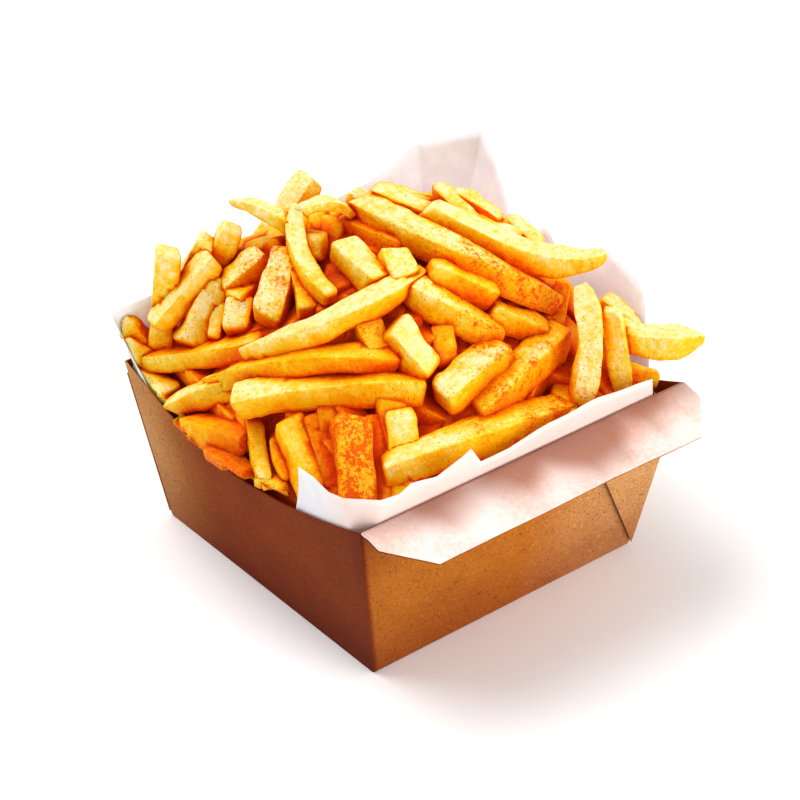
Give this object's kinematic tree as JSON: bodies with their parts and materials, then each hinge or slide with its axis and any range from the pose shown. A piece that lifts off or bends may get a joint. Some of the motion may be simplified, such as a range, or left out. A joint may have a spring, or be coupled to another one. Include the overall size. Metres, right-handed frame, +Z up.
{
  "type": "french fries in a carton",
  "caption": "Heap of seasoned french fries in a folded kraft card carton with flared walls, a white greaseproof paper liner and a folding front flap.",
  "frame": {"origin": "middle of the carton's underside, on the surface that it stands on", "axes": "+X along the front wall, +Y from the front wall to the back wall, +Z up"},
  "size_m": [0.1397, 0.1398, 0.1131],
  "materials": {
    "kraft_card": "uncoated brown kraft card, matte, with fine fibres and specks",
    "glazed_card": "pale, lightly glazed inner face of the card, kraft brown on its outer face",
    "greaseproof_paper": "thin white greaseproof paper with a soft sheen",
    "fried_potato": "golden fried potato, lightly oily, dusted with red spice"
  },
  "bodies": {
    "root": {"carton": "kraft_card", "liner": "greaseproof_paper", "fries": "fried_potato"},
    "flap": {"front_flap": "glazed_card"}
  },
  "joints": [
    {"name": "front_flap_fold", "type": "hinge", "parent": "root", "child": "flap", "pos_m": [0, -0.05755, 0.06], "axis": [-1, 0, 0], "range_deg": [-50, 72]}
  ]
}
